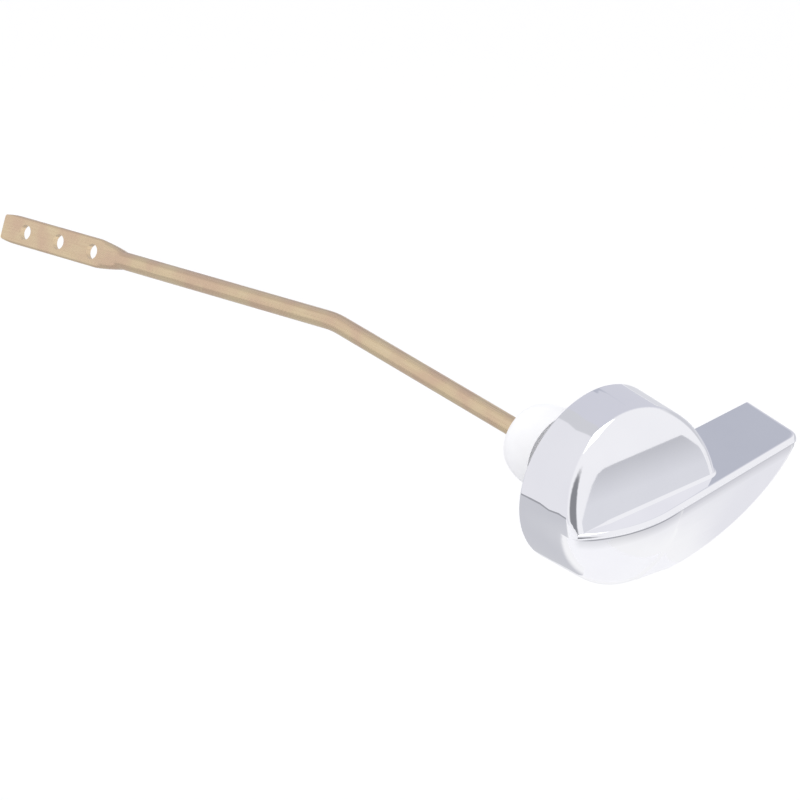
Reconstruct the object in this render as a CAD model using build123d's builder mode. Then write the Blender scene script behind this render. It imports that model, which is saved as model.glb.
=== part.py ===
from build123d import *
import os
from math import cos, radians, sin, sqrt, tan

os.makedirs("parts", exist_ok=True)

# Side-mounted cistern lever. X runs along the finger lever, -Y faces the user and +Z is up.
# The origin is on the turning axis, on the outer face of the cistern wall (y = 0).

# Cast handle: a round drum with a leaning upper face, a domed lower nose and a finger lever
drum_d = 48.4  # at its back rim
drum_draft = 2.0  # degrees, the drum narrows towards its front
drum_gap = 0.8  # between the drum's back rim and the cistern wall
face_foot = -22.2  # where the leaning face meets the deck, on the middle line
face_lean = 18.2  # degrees, back from upright
face_turn = 4.2  # degrees, the lever's side stands further forward
rim_r = 3.0  # rounding of the face into the drum's side
nose_front = -28.3
nose_rim_r = 9.5  # rounding of the nose into the drum's side
dome_r = 36.7  # ball form of the nose
deck_z = 0.8  # top of the lever and of the ledge in front of the drum
lip_thick = 1.4  # of the deck where it stands over the nose
tip_z = -2.4  # underside of the lever at its free end
lip = 0.2  # overhang of the deck over the nose
lip_left = -22.8  # where the deck's front edge runs into the drum
lip_r = 1.2  # rounding of the deck's front edge
flank_sink = 0.25  # the lever's flank starts this far inside the nose
foot_r = 2.0  # hollow rounding between the drum and the deck
foot_sink = 0.6
foot_bite = 0.12  # the rounding's faces start this far inside the drum and the deck
foot_start = -19.5  # the hollow rounding grows from here
foot_full = -13.0  # to its full size here
foot_start_share = 0.1
lever_back = -5.5
lever_end = 53.0  # at the lever's rear corner
lever_end_front = 51.4  # at its front corner
flank_taper = 3.5  # degrees, the deck's front edge against X
keel_taper = -13.0  # degrees, the same where the underside meets the drum
tip_corner_r = 3.8
keel_corner_r = 6.0
keel_z = -22.0  # height at which the lever's underside runs into the drum
keel_x = 9.78  # and how far to the right of the axis
keel_r = 3.0  # rounding of the underside's lowest edge
keel_bow = 1.5  # 1 for a straight underside, more for one that bows out
hull_levels = 5
casting_wall = 2.4
core_front = -19.0
core_r = 6.0
lever_core_depth = 17.0
lever_core_gap = 1.6  # from the drum's side to the hollow in the lever
cast_edge_r = 0.5
hub_d = 13.0
stop_rib = 3.0
arm_socket = 11.0  # how deep the arm sits in the hub

# Arm: brass rod with one bend and a flattened, drilled end that lies in the plane of the bend
arm_d = 5.0
bend_y = 96.2
bend_angle = 11.0
bend_roll = 31.0  # degrees from straight down, away from the finger lever
bend_r = 26.0
blade_width = 8.2
blade_thick = 1.8
shoulder_start = 81.5  # all along the second leg, from the bend
shoulder_mid = 87.3
shoulder_end = 92.0
shoulder_mid_width = 7.1
shoulder_mid_thick = 3.2
hole_first = 94.3
hole_pitch = 13.9
hole_count = 3
hole_d = 4.3
blade_narrows = 125.5
blade_end = 131.6
blade_end_width = 6.8
blade_corner_r = 0.8
collar_d = 7.2
collar_thick = 1.5

# Bushing, gasket and nut that hold it in the wall
wall_thick = 10.0
gasket_thick = 1.6
gasket_d = 30.0
flange_d = 30.0
flange_thick = 3.0
neck_side = 15.4
neck_length = 6.0
neck_corner_r = 1.5
shank_d = 14.0
shank_end = 19.5
stop_ring_od = 25.0
stop_ring_id = 18.0
stop_ring_height = 4.0
turn_range = 35.0  # degrees of travel between the stops
nut_d = 22.0
nut_skirt = 3.0
nut_length = 12.3
nut_end_d = 13.2
nut_end_bore = 10.6
nut_end_wall = 2.1

# Clearances
running_clear = 0.05  # arm in the bushing, on the radius
end_clear = 0.3  # faces that pass each other
thread_clear = 0.08
neck_clear = 0.3

# Drum and nose
drum_r = drum_d / 2
drum_back = -drum_gap
draft = tan(radians(drum_draft))
dome_y = nose_front + dome_r
lip_z = deck_z - lip_thick
deck_r = sqrt(dome_r**2 - lip_z**2) + lip
taper = radians(flank_taper)
lean = radians(face_lean)
turn_in = radians(face_turn)
face_ahead = Vector(-sin(turn_in), -cos(turn_in), 0)
face_along = Vector(cos(turn_in), -sin(turn_in), 0)
face = Plane(
    (0, face_foot, deck_z), x_dir=face_along, z_dir=face_ahead * cos(lean) + Vector(0, 0, sin(lean))
)

# Wall side
flange_back = -gasket_thick
flange_front = flange_back - flange_thick
stop_front = flange_front - stop_ring_height
hub_back = stop_front - end_clear
rib_back = flange_front - end_clear
collar_y = shank_end + end_clear
socket_end = hub_back - arm_socket
inner_r = drum_r - casting_wall

# Plan of the deck: nose arc, straight flank, rounded tip corner, raked end
with BuildSketch(Plane.XY.offset(lip_z)) as deck_plan:
    with BuildLine():
        nose_start = (lip_left, face_foot - lip_left * tan(turn_in))
        flank_start = (deck_r * sin(taper), dome_y - deck_r * cos(taper))
        flank_run = lever_end_front - flank_start[0]
        flank_end = (lever_end_front, flank_start[1] + flank_run * tan(taper))
        TangentArc(flank_start, nose_start, tangent=(-cos(taper), -sin(taper)))
        Line(flank_start, flank_end)
        Line(flank_end, (lever_end, lever_back))
        Line((lever_end, lever_back), (0, lever_back))
        Line((0, lever_back), nose_start)
    make_face()
    fillet(deck_plan.vertices().sort_by_distance((*flank_end, lip_z))[0], tip_corner_r)

with BuildPart() as deck:
    extrude(deck_plan.sketch, amount=lip_thick)
    deck_front = deck.faces().sort_by(Axis.Z)[-1].edges().sort_by(Axis.Y)
    fillet(deck_front[0:2], lip_r)

# Underside of the lever, as rounded water lines that shrink towards the drum
underside = (tip_z - keel_z) / (lever_end - keel_x)
lever_core_x = drum_r + lever_core_gap
lever_core_top = deck_z - casting_wall
lever_core_rise = tip_z + casting_wall * sqrt(1 + underside**2)
lever_core_low = lever_core_rise - (lever_end - lever_core_x) * underside
lever_core_tip = lever_end - (lever_core_rise - lever_core_top) / underside
with BuildPart() as lever:
    for level in range(hull_levels):
        share = level / (hull_levels - 1)
        level_z = tip_z + share * (keel_z - tip_z)
        level_r = sqrt(dome_r**2 - level_z**2) - flank_sink
        level_taper = taper + share**2 * (radians(keel_taper) - taper)
        end_back = lever_end + share**keel_bow * (keel_x - lever_end)
        end_front = lever_end_front + share**keel_bow * (keel_x - lever_end_front)
        corner_r = tip_corner_r + share * (keel_corner_r - tip_corner_r)
        start = (level_r * sin(level_taper), dome_y - level_r * cos(level_taper))
        corner = (end_front, start[1] + (end_front - start[0]) * tan(level_taper))
        with BuildSketch(Plane.XY.offset(level_z)) as water_line:
            with BuildLine():
                Polyline((0, lever_back), start, corner, (end_back, lever_back), close=True)
            make_face()
            fillet(water_line.vertices().sort_by_distance((*corner, level_z))[0], corner_r)
    loft()
    extrude(lever.faces().sort_by(Axis.Z)[-1], amount=lip_z - tip_z)
    fillet(lever.faces().sort_by(Axis.Z)[0].edges().sort_by(Axis.Y)[0:3], keel_r)

# Half section of the drum, longer than its nose
with BuildSketch() as drum_profile:
    with BuildLine():
        blank_front = drum_back - dome_r
        Polyline(
            (0, drum_back),
            (drum_r, drum_back),
            (drum_r - dome_r * draft, blank_front),
            (0, blank_front),
            close=True,
        )
    make_face()
    fillet(drum_profile.vertices().sort_by_distance((drum_r, drum_back))[0], cast_edge_r)

# Upper half of the drum, cut back to the leaning face
with BuildPart() as drum:
    revolve(drum_profile.sketch, axis=Axis.Y)
    split(bisect_by=Plane.XY.offset(lip_z), keep=Keep.TOP)
    split(bisect_by=face, keep=Keep.BOTTOM)
    fillet(drum.faces().sort_by(Axis.Y)[0].edges().sort_by(Axis.Z)[-1], rim_r)

# Hollow of the drum, open behind, with the hub left standing
with BuildPart() as drum_core:
    with BuildSketch() as core_profile:
        with BuildLine():
            Polyline(
                (0, drum_back),
                (0, hub_back),
                (hub_d / 2, hub_back),
                (hub_d / 2, core_front),
                (inner_r, core_front),
                (inner_r, drum_back),
                close=True,
            )
        make_face()
        fillet(core_profile.vertices().sort_by_distance((inner_r, core_front))[0], core_r)
    revolve(axis=Axis.Y)
    split(bisect_by=face.offset(-casting_wall), keep=Keep.BOTTOM)

# Rib that runs between the stops of the bushing
with BuildPart() as rib:
    with BuildSketch(Plane.XZ.offset(-rib_back)):
        with Locations((0, hub_d / 2 - casting_wall)):
            rib_height = inner_r - hub_d / 2 + casting_wall * 3 / 2
            Rectangle(stop_rib, rib_height, align=(Align.CENTER, Align.MIN))
    extrude(amount=rib_back - core_front)
    split(bisect_by=face.offset(-casting_wall / 2), keep=Keep.BOTTOM)

with BuildPart() as handle:
    # Lower half, cut to a ball form in front
    revolve(drum_profile.sketch, axis=Axis.Y)
    with Locations((0, dome_y)):
        Sphere(dome_r, mode=Mode.INTERSECT)
    split(bisect_by=Plane.XY.offset(lip_z), keep=Keep.BOTTOM)
    nose_face = handle.faces().filter_by(GeomType.SPHERE)[0]
    fillet(nose_face.edges().sort_by(Axis.Z)[0], nose_rim_r)

    add(drum.part)
    add(lever.part)
    add(deck.part)

    # Hollow rounding where the drum stands on the deck, running out at the nose
    foot_low = Vector(0, face_foot + foot_bite, deck_z - foot_bite)
    for foot_x in (foot_start, foot_full):
        foot_share = foot_start_share if foot_x == foot_start else 1
        foot_at = foot_low + face_along * foot_x
        with BuildSketch(Plane(foot_at, x_dir=face_ahead, z_dir=-face_along)) as foot:
            with BuildLine():
                foot_size = foot_r * foot_share
                foot_reach = foot_size * tan(radians(90 - face_lean) / 2)
                foot_top = (-foot_reach * sin(lean), foot_reach * cos(lean))
                Polyline(foot_top, (foot_top[0] - foot_sink, foot_top[1]), (-foot_sink, -foot_sink))
                Polyline((-foot_sink, -foot_sink), (foot_reach, -foot_sink), (foot_reach, 0))
                RadiusArc((foot_reach, 0), foot_top, foot_size)
            make_face()
    loft()
    foot_drum_r = drum_r - (drum_back - face_foot) * draft
    foot_side = sqrt(foot_drum_r**2 - (deck_z + foot_r) ** 2) - foot_bite
    foot_corner = foot_low + face_along * (foot_side / cos(turn_in))
    with BuildLine() as foot_path:
        FilletPolyline(
            foot_at,
            foot_corner,
            (foot_side, lever_back, foot_corner.Z),
            radius=rim_r,
        )
    sweep(sections=foot.sketch, path=foot_path.wires()[0])

    # Hollows from behind, the stop rib and the arm's socket
    add(drum_core.part, mode=Mode.SUBTRACT)
    with BuildSketch(Plane.XZ.offset(-lever_back)) as lever_core:
        with BuildLine():
            Polyline(
                (lever_core_x, lever_core_top),
                (lever_core_x, lever_core_low),
                (lever_core_tip, lever_core_top),
                close=True,
            )
        make_face()
        fillet(lever_core.vertices(), cast_edge_r)
    extrude(amount=lever_core_depth, mode=Mode.SUBTRACT)
    add(rib.part)
    with BuildSketch(Plane.XZ.offset(-hub_back)) as socket:
        Circle(arm_d / 2)
    extrude(amount=arm_socket, mode=Mode.SUBTRACT)
handle.part.label = "handle"
export_step(handle.part, "parts/handle.step")

# Second leg of the arm, and the plane it bends in
roll = radians(bend_roll)
bend_down = Vector(-sin(roll), 0, -cos(roll))
bend_side = Vector(-cos(roll), 0, sin(roll))
bend = Vector(0, bend_y, 0)
leg = Vector(0, cos(radians(bend_angle)), 0) + bend_down * sin(radians(bend_angle))
blade_plane = Plane(bend, x_dir=leg, z_dir=bend_side)

# Outline of the arm's end: narrowed, with rounded corners
with BuildSketch(blade_plane) as tip_plan:
    with BuildLine():
        narrow = (blade_narrows, blade_width / 2)
        tip = (blade_end, blade_end_width / 2)
        Polyline((blade_end, 0), (blade_narrows, 0), narrow)
        TangentArc(narrow, tip, tangent=(1, 0))
        Line(tip, (blade_end, 0))
    make_face()
    fillet(tip_plan.vertices().sort_by_distance(tip)[0], blade_corner_r)
    mirror(about=Plane.XZ)

with BuildPart() as arm:
    with BuildLine() as arm_path:
        FilletPolyline((0, socket_end, 0), bend, bend + leg * shoulder_start, radius=bend_r)
    with BuildSketch(Plane((0, socket_end, 0), z_dir=(0, 1, 0))):
        Circle(arm_d / 2)
    sweep(path=arm_path.wires()[0])
    with BuildSketch(Plane.XZ.offset(-collar_y)):
        Circle(collar_d / 2)
    extrude(amount=-collar_thick)
    # Rod pressed flat towards its end
    across = leg.cross(bend_side)
    with BuildSketch(Plane(bend + leg * shoulder_start, x_dir=across, z_dir=leg)):
        Circle(arm_d / 2)
    with BuildSketch(Plane(bend + leg * shoulder_mid, x_dir=across, z_dir=leg)):
        SlotOverall(shoulder_mid_width, shoulder_mid_thick)
    with BuildSketch(Plane(bend + leg * shoulder_end, x_dir=across, z_dir=leg)):
        SlotOverall(blade_width, blade_thick)
    loft()
    with BuildSketch(Plane(bend + leg * shoulder_end, x_dir=across, z_dir=leg)):
        SlotOverall(blade_width, blade_thick)
    extrude(amount=blade_end - shoulder_end)
    with BuildSketch(blade_plane):
        with Locations((blade_narrows, 0)):
            Rectangle(2 * blade_width, 2 * blade_width, align=(Align.MIN, Align.CENTER))
        add(tip_plan.sketch_local, mode=Mode.SUBTRACT)
        with Locations(*[(hole_first + i * hole_pitch, 0) for i in range(hole_count)]):
            Circle(hole_d / 2)
    extrude(amount=arm_d, both=True, mode=Mode.SUBTRACT)
arm.part.label = "arm"
export_step(arm.part, "parts/arm.step")

with BuildPart() as bushing:
    with BuildSketch(Plane.XZ.offset(-flange_back)):
        Circle(flange_d / 2)
    extrude(amount=flange_thick)
    with BuildSketch(Plane.XZ.offset(-flange_back)):
        RectangleRounded(neck_side, neck_side, neck_corner_r)
    extrude(amount=-(gasket_thick + neck_length))
    with BuildSketch(Plane.XZ.offset(-flange_back)):
        Circle(shank_d / 2)
    extrude(amount=-(shank_end - flange_back))
    # Stop ring, open over the travel of the handle's rib
    with BuildSketch(Plane.XZ.offset(-flange_front)) as stop_ring:
        Circle(stop_ring_od / 2)
        Circle(stop_ring_id / 2, mode=Mode.SUBTRACT)
        with BuildLine():
            gate = stop_rib / 2 + end_clear
            reach = stop_ring_od
            turn = radians(turn_range)
            Polyline(
                (-gate, 0),
                (-gate, reach),
                (gate * cos(turn) + reach * sin(turn), reach * cos(turn) - gate * sin(turn)),
                (gate * cos(turn), -gate * sin(turn)),
                close=True,
            )
        make_face(mode=Mode.SUBTRACT)
    extrude(amount=stop_ring_height)
    with BuildSketch(Plane.XZ.offset(-stop_front)):
        Circle(arm_d / 2 + running_clear)
    extrude(amount=-(shank_end - stop_front), mode=Mode.SUBTRACT)
bushing.part.label = "bushing"
export_step(bushing.part, "parts/bushing.step")

with BuildPart() as gasket:
    with BuildSketch(Plane.XZ):
        Circle(gasket_d / 2)
        RectangleRounded(
            neck_side + 2 * neck_clear, neck_side + 2 * neck_clear, neck_corner_r, mode=Mode.SUBTRACT
        )
    extrude(amount=gasket_thick)
gasket.part.label = "gasket"
export_step(gasket.part, "parts/gasket.step")

with BuildPart() as nut:
    with BuildSketch() as nut_profile:
        with BuildLine():
            nut_end = wall_thick + nut_length
            nut_bore = shank_d / 2 + thread_clear
            bore_end = nut_end - nut_end_wall
            Polyline(
                (nut_d / 2, wall_thick + nut_skirt),
                (nut_d / 2, wall_thick),
                (nut_bore, wall_thick),
                (nut_bore, bore_end),
                (nut_end_bore / 2, bore_end),
                (nut_end_bore / 2, nut_end),
                (nut_end_d / 2, nut_end),
            )
            EllipticalCenterArc(
                (nut_end_d / 2, wall_thick + nut_skirt),
                (nut_d - nut_end_d) / 2,
                nut_length - nut_skirt,
                start_angle=0,
                arc_size=90,
            )
        make_face()
    revolve(axis=Axis.Y)
nut.part.label = "nut"
export_step(nut.part, "parts/nut.step")
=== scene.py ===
import math

import bmesh
import bpy
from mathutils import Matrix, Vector


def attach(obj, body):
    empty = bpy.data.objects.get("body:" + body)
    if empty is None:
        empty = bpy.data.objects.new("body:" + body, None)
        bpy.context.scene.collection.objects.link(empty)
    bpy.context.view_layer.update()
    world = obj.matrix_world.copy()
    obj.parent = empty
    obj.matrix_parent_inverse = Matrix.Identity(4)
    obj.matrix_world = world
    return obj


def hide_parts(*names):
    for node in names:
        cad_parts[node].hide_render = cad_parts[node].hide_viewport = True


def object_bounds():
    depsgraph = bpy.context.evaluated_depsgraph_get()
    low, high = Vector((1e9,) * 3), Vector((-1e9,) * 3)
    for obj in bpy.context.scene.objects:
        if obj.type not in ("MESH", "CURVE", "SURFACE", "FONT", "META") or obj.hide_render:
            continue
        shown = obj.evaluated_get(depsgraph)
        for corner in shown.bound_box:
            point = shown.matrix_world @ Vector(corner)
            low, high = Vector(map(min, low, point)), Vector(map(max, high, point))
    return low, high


bl_info = {
    "name": "Cistern lever",
    "version": (1, 0, 0),
    "blender": (4, 5, 0),
    "location": "3D View > Sidebar > Lever",
    "description": "Finishes the pieces of a cistern lever and sets a plain studio round them",
    "category": "Object",
}

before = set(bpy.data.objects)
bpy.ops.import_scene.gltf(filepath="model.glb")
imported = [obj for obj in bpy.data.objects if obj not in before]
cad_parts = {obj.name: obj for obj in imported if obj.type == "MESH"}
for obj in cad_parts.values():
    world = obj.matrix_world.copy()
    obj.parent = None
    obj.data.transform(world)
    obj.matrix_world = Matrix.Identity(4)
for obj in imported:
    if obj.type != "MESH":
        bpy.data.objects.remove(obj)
cad_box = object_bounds()

MM = 0.001
WHITE = (1.0, 1.0, 1.0, 1.0)

# Settings that many nodes share
BLEND = {"data_type": "RGBA"}
SMOOTH = {"interpolation_type": "SMOOTHSTEP"}
ALONG = {"operation": "DOT_PRODUCT"}
MINUS = {"operation": "SUBTRACT"}
TIMES = {"operation": "MULTIPLY"}
LARGER = {"operation": "MAXIMUM"}

# Smooth shading of the copied meshes
MERGE_DISTANCE = 0.001 * MM
FLAT_ANGLE = math.radians(0.05)  # faces that meet at less than this lie in one flat
FLAT_FACES = 20  # a flat of more triangles than this keeps sharp borders
FLAT_WEIGHT = 80  # how strongly large faces set the normals
HANDLE_SHARP = math.radians(32)  # edges sharper than this stay sharp on the handle
ARM_SHARP = math.radians(40)  # and on the arm

# Level directions on the floor: to the left of the camera's line of sight, and along it
LEFT = (-0.748, 0.664, 0.0)
AWAY = (0.664, 0.748, 0.0)
CARD_GAP = 1 * MM  # height of the cards above the floor

# Lit cards on the floor round the lever, each named as its colour is: its corners in mm to the left and away,
# and its fade, if any, as card() takes it
FLOOR_CARDS = {
    "board": (
        ((40, -60), (300, -160), (735, -260), (735, 300), (40, 300)),
        ((0.417, 0.967, 0.0), 10, 120),
    ),
    "board_rail": (((735, -150), (820, -175), (820, 300), (735, 300)), None),
    "board_far": (((820, -900), (3400, -900), (3400, 300), (820, 300)), None),
    "mat": (
        ((40, 300), (40, 90), (-900, 90), (-2400, 1200), (-2400, 2400), (2400, 2400), (2400, 300)),
        (AWAY, 90, 330),
    ),
    "runner": (
        ((-170, -260), (-170, 90), (-640, 90), (-640, -260)),
        ((0.748, -0.664, 0.0), 180, 400),
    ),
}

# Grey card that stands ahead, where the leaning face mirrors it: its corners in mm across and up from its place
GREY_CARD = (
    (10, -30), (-0.4, 2.6), (-7.6, 12.9), (-15.4, 22.9), (-20.9, 28.0), (-25.6, 29.9), (-32.3, 30.4),
    (-77.1, 32.0), (-79.7, 28.9), (-84.0, 22.3), (-88.0, 13.5), (-90.4, 3.8), (-96, -30),
)
GREY_CARD_PLACE = (0.6935, -1.3357, -0.1198)
GREY_CARD_ACROSS = (-0.8795, -0.476, 0.0)
GREY_CARD_UP = (0.0383, -0.0708, 0.9968)
GREY_CARD_FOOT = -107.8 * MM  # height up to which it has the shade of its foot
GREY_CARD_TOP = -87.9 * MM  # height of its upper edge
GREY_CARD_MIDDLE = 0.4  # where it has its middle shade, as a share of the way up

# Directions along which the shades of the room change
ROOM_ACROSS = (0.994, 0.0, -0.11)
ROOM_BESIDE = (0.745, -0.667, 0.0)
ROOM_SLOPE = (1.2665, -1.1339, 1.0)
CAMERA_SIDE = (-0.776, -0.606, 0.174)


def linear(hex_colour):
    """An sRGB hex colour as linear red, green, blue and alpha."""
    parts = [int(hex_colour[i : i + 2], 16) / 255 for i in (1, 3, 5)]
    return [c / 12.92 if c <= 0.04045 else ((c + 0.055) / 1.055) ** 2.4 for c in parts] + [1.0]


def colour(name, description, hex_colour):
    """A colour property whose default is an sRGB hex colour."""
    return bpy.props.FloatVectorProperty(
        name=name,
        description=description,
        subtype="COLOR",
        size=4,
        min=0,
        max=1,
        default=linear(hex_colour),
    )


class LeverFinish(bpy.types.PropertyGroup):
    """Colours and surface sizes of the lever's pieces."""

    chrome: colour("Chrome", "Bright chrome plating", "#F6F6F9")
    chrome_haze: colour("Chrome haze", "Chrome where the polish is a little milky", "#F0F0F4")
    # Painted shade: the colour of the dark line and flank shading painted under the deck's lip
    chrome_lip_shade: colour("Dull chrome", "Chrome in corners that the buffing wheel doesn't reach", "#9C9DA3")
    lip_line: bpy.props.FloatProperty(
        name="Lip line",
        description="Height of the corner under the deck's lip",
        default=-0.8 * MM,
        unit="LENGTH",
    )
    brass: colour("Brass", "Drawn brass rod", "#EBD8B6")
    brass_dull: colour("Dull brass", "Brass that has started to tarnish", "#D9C19C")
    brass_rose: colour("Rosy brass", "Patches of brass with a rosier tarnish", "#DCC0A4")
    bend_y: bpy.props.FloatProperty(
        name="Bend",
        description="Where the rod's second leg starts",
        default=96.2 * MM,
        unit="LENGTH",
    )
    plastic: colour("Plastic", "White moulded plastic", "#F9F9FB")
    plastic_shade: colour("Plastic shade", "Cloudier patches in the plastic", "#F2F2F5")
    rubber: colour("Rubber", "Black rubber", "#1B1B1C")
    rubber_bloom: colour("Rubber bloom", "Grey bloom on the rubber", "#2C2C2E")


class LeverStudio(bpy.types.PropertyGroup):
    """The floor, the cards, the room, the lamp and the camera."""

    floor: colour("Floor", "Pale floor", "#EDEDEF")
    room: colour("Room", "Bright walls round the lever", "#FAFAFC")
    side_light: colour("Side light", "Tall light wall that the drum's left side mirrors", "#EEEEF2")
    ceiling_edge: colour("Ceiling edge", "Grey strip between the light wall and the ceiling", "#D6D7DB")
    ceiling: colour("Ceiling", "Cool shaded ceiling that the drum's top mirrors", "#D6D7E0")
    ceiling_far: colour("Far ceiling", "Its darker far corner, that the deck mirrors", "#BFC2CD")
    right_wall: colour("Right wall", "Grey wall at the right, that the end of the rim mirrors", "#D5D6DB")
    dark_side: colour("Dark side", "Unlit part of the room behind the camera", "#8E8F93")
    card_top: colour("Card top", "Upper edge of the grey card that the leaning face mirrors", "#C5C6CB")
    card_middle: colour("Card middle", "The same card, part of the way down", "#D8D9DE")
    card_low: colour("Card foot", "The same card, its lower part", "#E2E3E8")
    board: colour("Board", "Grey board on the floor at the left", "#CFD0D5")
    board_rail: colour("Board rail", "Darker rail along the board", "#A5A6AB")
    board_far: colour("Far floor", "Floor beyond the board", "#EEEEF2")
    mat: colour("Mat", "Pale grey mat that the edges of the lever's underside mirror", "#DFE0E5")
    runner: colour("Runner", "Paler mat at the right, that the lever's hull mirrors", "#EFEFF3")
    floor_size: bpy.props.FloatProperty(
        name="Floor size", description="Width of the floor", default=5.0, unit="LENGTH"
    )
    floor_drop: bpy.props.FloatProperty(
        name="Floor drop", description="How far the lever hangs above the floor", default=0.225, unit="LENGTH"
    )
    floor_lift: bpy.props.FloatProperty(
        name="Floor lift",
        description="Glow that the camera and mirrors see on the floor, as a share of its colour",
        default=0.075,
        min=0,
        max=1,
        subtype="FACTOR",
    )
    lamp_size: bpy.props.FloatProperty(
        name="Lamp size", description="Width of the soft lamp overhead", default=1.2, unit="LENGTH"
    )
    lamp_power: bpy.props.FloatProperty(
        name="Lamp power", description="Power of the soft lamp", default=6.0, min=0, unit="POWER"
    )
    lamp_place: bpy.props.FloatVectorProperty(
        name="Lamp place",
        description="Where the soft lamp hangs",
        default=(-0.15, 0.15, 1.8),
        subtype="TRANSLATION",
        unit="LENGTH",
    )
    camera_place: bpy.props.FloatVectorProperty(
        name="Camera place",
        description="Where the camera stands",
        default=(-0.6146, -0.6165, 0.5746),
        subtype="TRANSLATION",
        unit="LENGTH",
    )
    camera_back: bpy.props.FloatVectorProperty(
        name="Camera back",
        description="Direction from what the camera looks at to the camera",
        default=(-0.5625, -0.6285, 0.5372),
        subtype="DIRECTION",
    )
    lens: bpy.props.FloatProperty(
        name="Lens", description="Focal length in mm on a 36 mm sensor", default=186.53, min=1, max=1000
    )


def node(tree, kind, settings=None, **inputs):
    """Adds a node with its settings and inputs, and links the inputs that are given an output socket.

    An input goes by its name, with _ for a space, or by i and its number.
    """
    made = tree.nodes.new(kind)
    for key, value in (settings or {}).items():
        setattr(made, key, value)
    for key, value in inputs.items():
        numbered = key[0] == "i" and key[1:].isdigit()
        socket = made.inputs[int(key[1:]) if numbered else key.replace("_", " ")]
        if isinstance(value, bpy.types.NodeSocket):
            tree.links.new(value, socket)
        else:
            socket.default_value = value
    return made


def fresh(name):
    """An empty material and its node tree."""
    material = bpy.data.materials.new(name)
    material.use_nodes = True
    material.node_tree.nodes.clear()
    return material, material.node_tree


def chrome_plate(finish):
    # Chrome plated on a buffed zinc casting: a hard, slightly cool mirror, faintly milky in wide clouds where
    # the polish is uneven
    material, tree = fresh("chrome_plated_zinc")
    cloud_width = 14 * MM
    place = node(tree, "ShaderNodeTexCoord").outputs["Object"]
    haze = node(tree, "ShaderNodeTexNoise", Vector=place, Scale=1 / cloud_width, Detail=3.0).outputs["Fac"]
    tint = node(tree, "ShaderNodeMix", BLEND, Factor=haze, i6=finish.chrome, i7=finish.chrome_haze).outputs[2]

    # Painted shade: a fine dark line is painted along the corner under the deck's lip and fades out down the
    # flank, standing in for the shadow and dark reflection in that corner
    line_edge, line_core = 0.45 * MM, 0.1 * MM
    fade_depth, fade_strength = 3.2 * MM, 0.4
    axes = node(tree, "ShaderNodeSeparateXYZ", Vector=place).outputs
    rise = node(tree, "ShaderNodeMath", MINUS, i0=axes["Z"], i1=finish.lip_line).outputs[0]
    line = node(tree, "ShaderNodeMath", {"operation": "ABSOLUTE"}, i0=rise).outputs[0]
    line = node(tree, "ShaderNodeMapRange", SMOOTH, Value=line, From_Min=line_edge, From_Max=line_core)
    flank = node(
        tree, "ShaderNodeMapRange", Value=rise, From_Min=-fade_depth, From_Max=0.0, To_Max=fade_strength
    )
    below = node(tree, "ShaderNodeMath", {"operation": "LESS_THAN"}, i0=rise, i1=line_core)
    flank = node(tree, "ShaderNodeMath", TIMES, i0=flank.outputs["Result"], i1=below.outputs[0])
    painted_shade = node(tree, "ShaderNodeMath", LARGER, i0=line.outputs["Result"], i1=flank.outputs[0])

    # The corner runs round the front of the nose and along the finger lever
    nose = node(tree, "ShaderNodeMapRange", Value=axes["Y"], From_Min=-19.0 * MM, From_Max=-20.5 * MM)
    finger = node(tree, "ShaderNodeMapRange", Value=axes["X"], From_Min=4.0 * MM, From_Max=6.0 * MM)
    where = node(tree, "ShaderNodeMath", LARGER, i0=nose.outputs["Result"], i1=finger.outputs["Result"])
    corner = node(tree, "ShaderNodeMath", TIMES, i0=painted_shade.outputs[0], i1=where.outputs[0]).outputs[0]
    # Painted shade: the dark lip colour is mixed into the chrome along that corner
    tint = node(tree, "ShaderNodeMix", BLEND, Factor=corner, i6=tint, i7=finish.chrome_lip_shade).outputs[2]

    rough = node(tree, "ShaderNodeMapRange", Value=haze, To_Min=0.006, To_Max=0.014).outputs["Result"]
    shader = node(tree, "ShaderNodeBsdfPrincipled", Base_Color=tint, Roughness=rough, Metallic=1.0)
    node(tree, "ShaderNodeOutputMaterial", Surface=shader.outputs["BSDF"])
    return material


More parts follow.
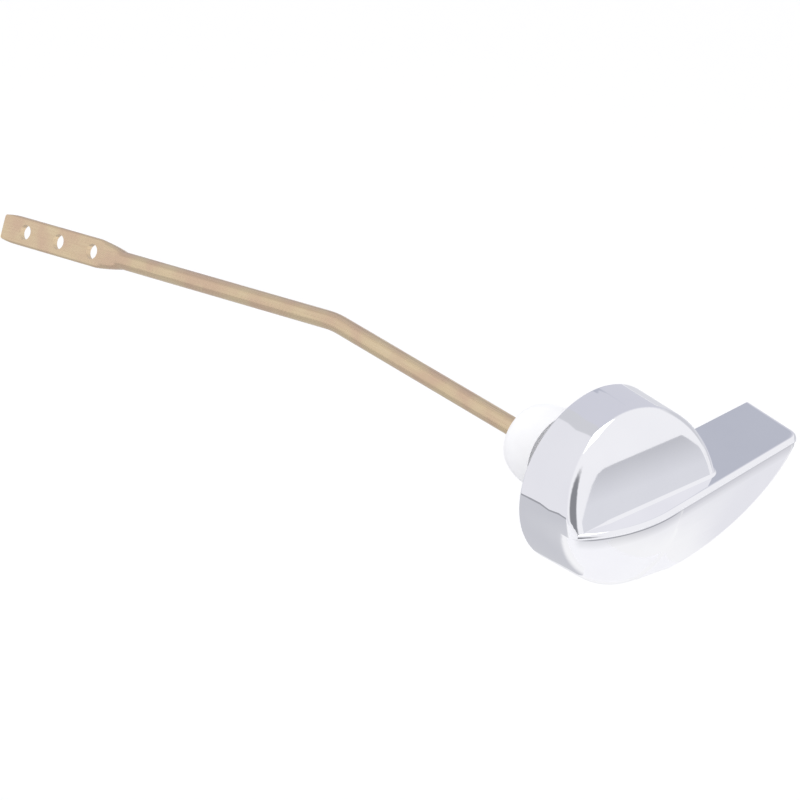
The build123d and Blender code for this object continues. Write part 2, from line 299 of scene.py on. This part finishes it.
def drawn_brass(finish):
    # Brass rod drawn through a die: a soft golden gloss in long fine streaks, with rosier patches of tarnish
    material, tree = fresh("drawn_brass")
    place = node(tree, "ShaderNodeTexCoord").outputs["Object"]

    # The die's lines run along the rod and follow its second leg past the bend, so what the leg leaves the
    # first one's line by, for each metre along Y, is added back.
    # Real lines are some 0.1 mm apart; they are drawn at 0.5 mm so that the picture can show them.
    line_spacing = 0.5 * MM
    along_rod = (1.0, 0.03, 1.0)
    leg_return = (0.0999, 0.0, 0.1665)
    axes = node(tree, "ShaderNodeSeparateXYZ", Vector=place).outputs
    past = node(tree, "ShaderNodeMath", MINUS, i0=axes["Y"], i1=finish.bend_y).outputs[0]
    past = node(tree, "ShaderNodeMath", LARGER, i0=past, i1=0.0).outputs[0]
    straight = node(
        tree, "ShaderNodeVectorMath", {"operation": "MULTIPLY_ADD"}, i0=past, i1=leg_return, i2=place
    )
    drawn = node(tree, "ShaderNodeMapping", Vector=straight.outputs["Vector"], Scale=along_rod)
    lines = node(
        tree, "ShaderNodeTexNoise", Vector=drawn.outputs["Vector"], Scale=1 / line_spacing, Detail=3.0
    ).outputs["Fac"]
    tint = node(tree, "ShaderNodeMix", BLEND, Factor=lines, i6=finish.brass, i7=finish.brass_dull).outputs[2]

    patch_width = 9 * MM
    patches = node(tree, "ShaderNodeTexNoise", Vector=place, Scale=1 / patch_width, Detail=2.0)
    share = node(tree, "ShaderNodeMapRange", Value=patches.outputs["Fac"], From_Min=0.4, From_Max=0.65)
    tint = node(
        tree, "ShaderNodeMix", BLEND, Factor=share.outputs["Result"], i6=tint, i7=finish.brass_rose
    ).outputs[2]

    rough = node(tree, "ShaderNodeMapRange", Value=lines, To_Min=0.2, To_Max=0.34).outputs["Result"]
    bump = node(tree, "ShaderNodeBump", Height=lines, Strength=0.15, Distance=0.03 * MM).outputs["Normal"]
    shader = node(
        tree, "ShaderNodeBsdfPrincipled", Base_Color=tint, Roughness=rough, Normal=bump, Metallic=1.0
    )
    node(tree, "ShaderNodeOutputMaterial", Surface=shader.outputs["BSDF"])
    return material


def white_acetal(finish):
    # Moulded acetal: clean white with a low soft gloss and faint clouds.
    # A mould's grain is finer than 0.1 mm; it is drawn at 0.4 mm so that the picture can show it.
    material, tree = fresh("moulded_white_acetal")
    cloud_width = 6 * MM
    grain_width = 0.4 * MM
    place = node(tree, "ShaderNodeTexCoord").outputs["Object"]
    cloud = node(tree, "ShaderNodeTexNoise", Vector=place, Scale=1 / cloud_width, Detail=2.0).outputs["Fac"]
    grain = node(tree, "ShaderNodeTexNoise", Vector=place, Scale=1 / grain_width, Detail=2.0).outputs["Fac"]
    tint = node(tree, "ShaderNodeMix", BLEND, Factor=cloud, i6=finish.plastic, i7=finish.plastic_shade)
    bump = node(tree, "ShaderNodeBump", Height=grain, Strength=0.1, Distance=0.03 * MM)
    shader = node(
        tree,
        "ShaderNodeBsdfPrincipled",
        Base_Color=tint.outputs[2],
        Roughness=0.42,
        Normal=bump.outputs["Normal"],
        IOR=1.48,
    )
    node(tree, "ShaderNodeOutputMaterial", Surface=shader.outputs["BSDF"])
    return material


def black_rubber(finish):
    # Moulded rubber: matt and nearly black, with a slightly uneven skin and a greyish bloom in small patches
    material, tree = fresh("moulded_black_rubber")
    bloom_width = 1.2 * MM
    place = node(tree, "ShaderNodeTexCoord").outputs["Object"]
    bloom = node(tree, "ShaderNodeTexNoise", Vector=place, Scale=1 / bloom_width, Detail=4.0).outputs["Fac"]
    tint = node(tree, "ShaderNodeMix", BLEND, Factor=bloom, i6=finish.rubber, i7=finish.rubber_bloom)
    bump = node(tree, "ShaderNodeBump", Height=bloom, Strength=0.3, Distance=0.05 * MM)
    shader = node(
        tree,
        "ShaderNodeBsdfPrincipled",
        Base_Color=tint.outputs[2],
        Roughness=0.7,
        Normal=bump.outputs["Normal"],
        IOR=1.52,
    )
    node(tree, "ShaderNodeOutputMaterial", Surface=shader.outputs["BSDF"])
    return material


def dress(name, material):
    """Gives a CAD node its finish."""
    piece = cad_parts[name]
    piece.data.materials.clear()
    piece.data.materials.append(material)


def flat_groups(work):
    """For each face the number of the larger flat it lies in, or 0 on a curved surface."""
    group = {}
    for seed in work.faces:
        if seed in group:
            continue
        flat = {seed}
        reached = [seed]
        while reached:
            face = reached.pop()
            for edge in face.edges:
                if len(edge.link_faces) == 2 and edge.calc_face_angle(math.pi) < FLAT_ANGLE:
                    for other in edge.link_faces:
                        if other not in flat:
                            flat.add(other)
                            reached.append(other)
        number = seed.index + 1 if len(flat) > FLAT_FACES else 0
        group.update((face, number) for face in flat)
    return group


def smooth_copy(name, node_name, body, material, sharp_angle):
    """A merged copy of a CAD node's mesh, shaded smooth up to the sharp angle and round its larger flats."""
    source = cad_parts[node_name]
    work = bmesh.new()
    work.from_mesh(source.data)
    bmesh.ops.remove_doubles(work, verts=work.verts, dist=MERGE_DISTANCE)
    for face in work.faces:
        face.smooth = True
        face.material_index = 0
    flats = flat_groups(work)
    for edge in work.edges:
        one_surface = len({flats[face] for face in edge.link_faces}) < 2
        blunt = len(edge.link_faces) == 2 and edge.calc_face_angle(math.pi) < sharp_angle
        edge.smooth = one_surface and blunt
    mesh = bpy.data.meshes.new(name)
    work.to_mesh(mesh)
    work.free()
    mesh.materials.append(material)
    piece = bpy.data.objects.new(name, mesh)
    bpy.context.scene.collection.objects.link(piece)
    flat = piece.modifiers.new("flat_faces", "WEIGHTED_NORMAL")
    flat.mode = "FACE_AREA"
    flat.weight = FLAT_WEIGHT
    flat.keep_sharp = True
    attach(piece, body)
    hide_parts(node_name)


def seen(tree):
    """1 for rays from the camera, from a mirror or through glass, which see the background, otherwise 0."""
    path = node(tree, "ShaderNodeLightPath").outputs
    eye = path["Is Camera Ray"]
    for kind in ("Is Glossy Ray", "Is Transmission Ray"):
        eye = node(tree, "ShaderNodeMath", LARGER, i0=eye, i1=path[kind]).outputs[0]
    return eye


def sheet(name, corners, origin, across, along):
    """A flat staged sheet with the given corners in mm, measured from its origin across and along it."""
    work = bmesh.new()
    places = [Vector(origin) + MM * (a * Vector(across) + b * Vector(along)) for a, b in corners]
    work.faces.new([work.verts.new(place) for place in places])
    mesh = bpy.data.meshes.new(name)
    work.to_mesh(mesh)
    work.free()
    piece = bpy.data.objects.new(name, mesh)
    bpy.context.scene.collection.objects.link(piece)
    return piece


def card(name, shade, shape, fade=None):
    """A lit studio card, with its node tree and its glow: only mirrors show it, and it lights nothing else.

    A fade gives a direction and where along it, in mm, the card goes from white to its shade.
    """
    piece = sheet(name, *shape)
    piece.visible_camera = False
    piece.visible_diffuse = False
    piece.visible_shadow = False
    material, tree = fresh("lit_" + name)
    if fade:
        way, white_end, shade_end = fade
        place = node(tree, "ShaderNodeTexCoord").outputs["Object"]
        place = node(tree, "ShaderNodeVectorMath", ALONG, i0=place, i1=way).outputs["Value"]
        share = node(
            tree,
            "ShaderNodeMapRange",
            SMOOTH,
            Value=place,
            From_Min=white_end * MM,
            From_Max=shade_end * MM,
        ).outputs["Result"]
        shade = node(tree, "ShaderNodeMix", BLEND, Factor=share, i6=WHITE, i7=shade).outputs[2]
    glow = node(tree, "ShaderNodeEmission", Color=shade, Strength=1.0)
    node(tree, "ShaderNodeOutputMaterial", Surface=glow.outputs[0])
    piece.data.materials.append(material)
    return tree, glow


def lay_floor(studio, floor_z):
    """The pale floor, which takes the lever's shadow."""
    half = studio.floor_size / 2 / MM
    corners = ((-half, -half), (half, -half), (half, half), (-half, half))
    floor = sheet("floor", corners, (0.0, 0.0, floor_z), (1, 0, 0), (0, 1, 0))
    # Matt paint: even and pale, and a little lighter to the camera and in mirrors
    material, tree = fresh("pale_floor")
    lift = node(tree, "ShaderNodeMath", TIMES, i0=seen(tree), i1=studio.floor_lift).outputs[0]
    matt = node(tree, "ShaderNodeBsdfDiffuse", Color=studio.floor)
    glow = node(tree, "ShaderNodeEmission", Color=studio.floor, Strength=lift)
    both = node(tree, "ShaderNodeAddShader", i0=matt.outputs[0], i1=glow.outputs[0])
    node(tree, "ShaderNodeOutputMaterial", Surface=both.outputs[0])
    floor.data.materials.append(material)


def set_cards(studio, floor_z):
    """The cards on the floor, and the grey card ahead, which is darkest along its upper edge."""
    level = (0.0, 0.0, floor_z + CARD_GAP)
    for name, (corners, fade) in FLOOR_CARDS.items():
        card(name, getattr(studio, name), (corners, level, LEFT, AWAY), fade)

    shape = (GREY_CARD, GREY_CARD_PLACE, GREY_CARD_ACROSS, GREY_CARD_UP)
    tree, glow = card("grey_card", studio.card_low, shape)
    place = node(tree, "ShaderNodeTexCoord").outputs["Object"]
    height = node(tree, "ShaderNodeSeparateXYZ", Vector=place).outputs["Z"]
    height = node(tree, "ShaderNodeMapRange", Value=height, From_Min=GREY_CARD_FOOT, From_Max=GREY_CARD_TOP)
    shades = node(tree, "ShaderNodeValToRGB", Fac=height.outputs["Result"])
    stops = shades.color_ramp.elements
    stops[0].color = studio.card_low
    stops[1].color = studio.card_top
    stops.new(GREY_CARD_MIDDLE).color = studio.card_middle
    tree.links.new(shades.outputs["Color"], glow.inputs["Color"])


def room_round(studio):
    """A room that lights the lever evenly in white, and shows its shades to the camera and to mirrors only."""
    world = bpy.data.worlds.new("room")
    world.use_nodes = True
    tree = world.node_tree
    tree.nodes.clear()
    look = node(tree, "ShaderNodeTexCoord").outputs["Generated"]
    axes = node(tree, "ShaderNodeSeparateXYZ", Vector=look).outputs
    across, beside, slope, camera_side = [
        node(tree, "ShaderNodeVectorMath", ALONG, i0=look, i1=way).outputs["Value"]
        for way in (ROOM_ACROSS, ROOM_BESIDE, ROOM_SLOPE, CAMERA_SIDE)
    ]

    # From left to right: a light wall, a grey strip and the cool shaded ceiling
    place = node(tree, "ShaderNodeMapRange", Value=across, From_Min=-1.0, From_Max=1.0).outputs["Result"]
    bands = node(tree, "ShaderNodeValToRGB", Fac=place)
    stops = bands.color_ramp.elements
    stops[0].position = 0.372
    stops[0].color = studio.side_light
    stops[1].position = 0.503
    stops[1].color = studio.ceiling
    for position in (0.384, 0.492):
        stops.new(position).color = studio.ceiling_edge

    # The ceiling's far corner lies inside all of these limits, each given from outside to inside
    limits = (
        (across, 0.5, 0.54),
        (beside, 0.15, 0.13),
        (axes["Z"], 0.567, 0.56),
        (slope, 0.7035, 0.7005),
    )
    corner = 1.0
    for value, outside, inside in limits:
        limit = node(tree, "ShaderNodeMapRange", Value=value, From_Min=outside, From_Max=inside)
        corner = node(tree, "ShaderNodeMath", TIMES, i0=limit.outputs["Result"], i1=corner).outputs[0]

    # The ceiling gives way to bright walls in front; the right wall and the room behind the camera are darker
    front = node(tree, "ShaderNodeMapRange", SMOOTH, Value=axes["Y"], From_Min=0.45, From_Max=0.1)
    right = node(tree, "ShaderNodeMapRange", Value=across, From_Min=0.88, From_Max=0.95)
    unlit = node(tree, "ShaderNodeMapRange", SMOOTH, Value=camera_side, From_Min=0.78, From_Max=0.92)
    layers = (
        (corner, studio.ceiling_far),
        (front.outputs["Result"], studio.room),
        (right.outputs["Result"], studio.right_wall),
        (unlit.outputs["Result"], studio.dark_side),
    )
    shade = bands.outputs["Color"]
    for share, paint in layers:
        shade = node(tree, "ShaderNodeMix", BLEND, Factor=share, i6=shade, i7=paint).outputs[2]
    light = node(tree, "ShaderNodeMix", BLEND, Factor=seen(tree), i6=WHITE, i7=shade).outputs[2]
    sky = node(tree, "ShaderNodeBackground", Color=light, Strength=1.0)
    node(tree, "ShaderNodeOutputWorld", Surface=sky.outputs[0])
    return world


def aimed(name, data, place, way):
    """A lamp or camera at its place, turned to look the given way."""
    made = bpy.data.objects.new(name, data)
    made.location = place
    made.rotation_mode = "QUATERNION"
    made.rotation_quaternion = way.to_track_quat("-Z", "Y")
    bpy.context.scene.collection.objects.link(made)
    return made


class LEVER_OT_handle(bpy.types.Operator):
    """Finishes the cast handle in bright chrome"""

    bl_idname = "lever.handle"
    bl_label = "Chrome handle"

    def execute(self, context):
        chrome = chrome_plate(context.scene.lever_finish)
        smooth_copy("chrome_handle", "handle", "lever", chrome, HANDLE_SHARP)
        return {"FINISHED"}


class LEVER_OT_arm(bpy.types.Operator):
    """Finishes the arm in drawn brass"""

    bl_idname = "lever.arm"
    bl_label = "Brass arm"

    def execute(self, context):
        brass = drawn_brass(context.scene.lever_finish)
        smooth_copy("brass_arm", "arm", "lever", brass, ARM_SHARP)
        return {"FINISHED"}


class LEVER_OT_fixing(bpy.types.Operator):
    """Finishes the bushing, the nut and the gasket that hold the lever in the wall"""

    bl_idname = "lever.fixing"
    bl_label = "Wall fixing"

    def execute(self, context):
        finish = context.scene.lever_finish
        plastic = white_acetal(finish)
        dress("bushing", plastic)
        dress("nut", plastic)
        dress("gasket", black_rubber(finish))
        return {"FINISHED"}


class LEVER_OT_stage(bpy.types.Operator):
    """Sets the floor, the cards, the soft light of the room and the camera"""

    bl_idname = "lever.stage"
    bl_label = "Studio"

    def execute(self, context):
        scene = context.scene
        studio = scene.lever_studio
        scene.view_settings.view_transform = "Standard"
        floor_z = cad_box[0].z - studio.floor_drop
        lay_floor(studio, floor_z)
        set_cards(studio, floor_z)
        scene.world = room_round(studio)

        lamp = bpy.data.lights.new("soft_box", "AREA")
        lamp.shape = "RECTANGLE"
        lamp.size = studio.lamp_size
        lamp.size_y = studio.lamp_size
        lamp.energy = studio.lamp_power
        aimed("soft_box", lamp, studio.lamp_place, -Vector(studio.lamp_place))

        lens = bpy.data.cameras.new("camera")
        lens.lens = studio.lens
        lens.sensor_width = 36
        lens.sensor_fit = "HORIZONTAL"
        lens.clip_start = 0.05
        lens.clip_end = 50
        scene.camera = aimed("camera", lens, studio.camera_place, -Vector(studio.camera_back))
        return {"FINISHED"}


class LEVER_PT_panel(bpy.types.Panel):
    """Lists the steps that dress the lever, and their sizes and colours"""

    bl_idname = "LEVER_PT_panel"
    bl_label = "Cistern lever"
    bl_space_type = "VIEW_3D"
    bl_region_type = "UI"
    bl_category = "Lever"

    def draw(self, context):
        for step in STEPS:
            self.layout.operator(step.bl_idname)
        for group in (context.scene.lever_finish, context.scene.lever_studio):
            for key in group.__annotations__:
                self.layout.prop(group, key)


STEPS = (LEVER_OT_handle, LEVER_OT_arm, LEVER_OT_fixing, LEVER_OT_stage)
CLASSES = (LeverFinish, LeverStudio, *STEPS, LEVER_PT_panel)


def register():
    for each in CLASSES:
        bpy.utils.register_class(each)
    bpy.types.Scene.lever_finish = bpy.props.PointerProperty(type=LeverFinish)
    bpy.types.Scene.lever_studio = bpy.props.PointerProperty(type=LeverStudio)


def unregister():
    del bpy.types.Scene.lever_studio
    del bpy.types.Scene.lever_finish
    for each in reversed(CLASSES):
        bpy.utils.unregister_class(each)


def main():
    register()
    bpy.ops.lever.handle()
    bpy.ops.lever.arm()
    bpy.ops.lever.fixing()
    bpy.ops.lever.stage()
    bpy.context.view_layer.update()


if __name__ == "__main__":
    main()
